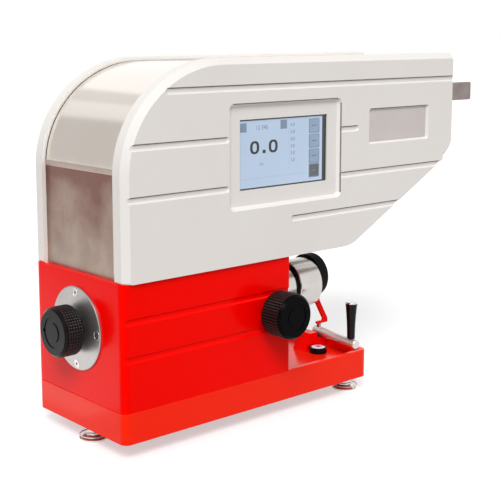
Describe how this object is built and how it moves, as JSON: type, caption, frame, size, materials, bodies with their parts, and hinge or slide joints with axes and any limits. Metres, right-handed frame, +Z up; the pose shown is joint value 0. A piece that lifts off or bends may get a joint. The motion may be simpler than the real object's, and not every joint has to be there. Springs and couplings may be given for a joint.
{
  "type": "pendulum rebound tester",
  "caption": "Bench pendulum rebound tester for rubber with a screen in a pale raked housing on a glossy red block, tray with crank and bubble level",
  "frame": {"origin": "centre of the left foot's pad where it stands on the bench", "axes": "X runs from the end with the flange to the end with the pendulum, Z is up, the screen faces -Y"},
  "size_m": [0.607, 0.1832, 0.3578],
  "materials": {
    "red_paint": "gloss",
    "light_paint": "satin",
    "sheet_steel": "brushed",
    "machined_steel": "satin",
    "bright_steel": "polished",
    "black_plastic": "satin",
    "rubber_black": "matte",
    "aluminium_plain": "satin",
    "bronze": "satin",
    "screen_glass": "gloss",
    "vial_clear": "clear",
    "board_green": "gloss"
  },
  "bodies": {
    "machine": {"anvil_block": "red_paint", "base_screws": "black_plastic", "base_tray": "red_paint", "bulkhead": "machined_steel", "control_board": "board_green", "crank_block": "red_paint", "data_port": "machined_steel", "display_module": "black_plastic", "encoder_sensor": "black_plastic", "flange": "machined_steel", "flange_screws": "bright_steel", "front_bearing": "machined_steel", "front_cheek": "aluminium_plain", "front_panel": "light_paint", "holding_magnet": "aluminium_plain", "level_body": "black_plastic", "level_vial": "vial_clear", "lower_cover_sheet": "sheet_steel", "panel_brackets": "machined_steel", "power_inlet": "black_plastic", "power_supply": "machined_steel", "rear_bearing": "machined_steel", "rear_cheek": "aluminium_plain", "rear_panel": "light_paint", "screen_glass": "screen_glass", "spindle_sleeve": "bronze", "top_beam": "aluminium_plain", "upper_cover_sheet": "sheet_steel"},
    "pendulum": {"pendulum_shaft": "machined_steel", "pendulum_hub": "machined_steel", "pendulum_arm": "machined_steel", "hammer_head": "machined_steel", "hammer_cap": "machined_steel", "striker_tip": "bright_steel", "encoder_disc": "aluminium_plain"},
    "adjuster": {"adjust_knob": "black_plastic", "lead_screw": "machined_steel"},
    "anvil": {"anvil_spindle": "machined_steel", "spindle_nut": "bronze", "anvil_set_screw": "black_plastic", "anvil_ring": "black_plastic", "anvil_head": "machined_steel", "specimen": "rubber_black"},
    "clamp_tip": {"clamp_pad": "bronze"},
    "clamp": {"clamp_knob": "black_plastic", "clamp_screw": "machined_steel"},
    "crank": {"crank_hub": "black_plastic", "crank_arm": "bright_steel", "grip_pin": "bright_steel"},
    "crank_grip": {"grip": "black_plastic", "grip_cap": "bright_steel"},
    "specimen_rest": {"lift_rod": "machined_steel", "rest_finger": "red_paint"},
    "mains_switch": {"power_rocker": "black_plastic"},
    "foot_left": {"foot_pad_left": "bright_steel"},
    "levelling_screw_left": {"foot_spindle_left": "bright_steel"},
    "foot_front": {"foot_pad_front": "bright_steel"},
    "levelling_screw_front": {"foot_spindle_front": "bright_steel"},
    "foot_rear": {"foot_pad_rear": "bright_steel"},
    "levelling_screw_rear": {"foot_spindle_rear": "bright_steel"}
  },
  "joints": [
    {"name": "pendulum_swing", "type": "hinge", "parent": "machine", "child": "pendulum", "pos_m": [0.32, 0, 0.3105], "axis": [0, 1, 0], "range_deg": [0, 90]},
    {"name": "anvil_travel", "type": "slide", "parent": "machine", "child": "anvil", "axis": [1, 0, 0], "range_m": [-0.01, 0]},
    {"name": "adjuster_turn", "type": "hinge", "parent": "machine", "child": "adjuster", "pos_m": [-0.032, 0, 0.1105], "axis": [1, 0, 0], "range_deg": [-720.5, 0.5]},
    {"name": "clamp_travel", "type": "slide", "parent": "machine", "child": "clamp_tip", "axis": [0, 1, 0], "range_m": [-0.003, 0]},
    {"name": "clamp_turn", "type": "hinge", "parent": "clamp_tip", "child": "clamp", "pos_m": [0.164, -0.09, 0.1105], "axis": [0, 1, 0], "range_deg": [-720.5, 0.5]},
    {"name": "crank_turn", "type": "hinge", "parent": "machine", "child": "crank", "pos_m": [0.296, -0.0085, 0.054], "axis": [0, 0, 1], "range_deg": [0, 100]},
    {"name": "grip_turn", "type": "hinge", "parent": "crank", "child": "crank_grip", "pos_m": [0.28593, -0.06562, 0.06], "axis": [0, 0, 1], "continuous": true},
    {"name": "rest_lift", "type": "slide", "parent": "machine", "child": "specimen_rest", "axis": [0, 0, 1], "range_m": [-0.00301, 0]},
    {"name": "mains_switching", "type": "hinge", "parent": "machine", "child": "mains_switch", "pos_m": [0.032, 0.0727, 0.194], "axis": [1, 0, 0], "range_deg": [-16, 0]},
    {"name": "foot_height_left", "type": "slide", "parent": "machine", "child": "foot_left", "axis": [0, 0, 1], "range_m": [-0.0015, 0.0015]},
    {"name": "foot_turn_left", "type": "hinge", "parent": "foot_left", "child": "levelling_screw_left", "pos_m": [0, 0, 0.01], "axis": [0, 0, 1], "range_deg": [-432.5, 432.5]},
    {"name": "foot_height_front", "type": "slide", "parent": "machine", "child": "foot_front", "axis": [0, 0, 1], "range_m": [-0.0015, 0.0015]},
    {"name": "foot_turn_front", "type": "hinge", "parent": "foot_front", "child": "levelling_screw_front", "pos_m": [0.291, -0.0525, 0.01], "axis": [0, 0, 1], "range_deg": [-432.5, 432.5]},
    {"name": "foot_height_rear", "type": "slide", "parent": "machine", "child": "foot_rear", "axis": [0, 0, 1], "range_m": [-0.0015, 0.0015]},
    {"name": "foot_turn_rear", "type": "hinge", "parent": "foot_rear", "child": "levelling_screw_rear", "pos_m": [0.291, 0.0525, 0.01], "axis": [0, 0, 1], "range_deg": [-432.5, 432.5]}
  ],
  "couplings": [
    {"joint": "adjuster_turn", "follows": "anvil_travel", "rad_per_m": 1256.6},
    {"joint": "clamp_turn", "follows": "clamp_travel", "rad_per_m": 4188.8},
    {"joint": "rest_lift", "follows": "crank_turn", "m_per_rad": -0.0017189},
    {"joint": "foot_turn_left", "follows": "foot_height_left", "rad_per_m": 5026.5},
    {"joint": "foot_turn_front", "follows": "foot_height_front", "rad_per_m": 5026.5},
    {"joint": "foot_turn_rear", "follows": "foot_height_rear", "rad_per_m": 5026.5}
  ]
}
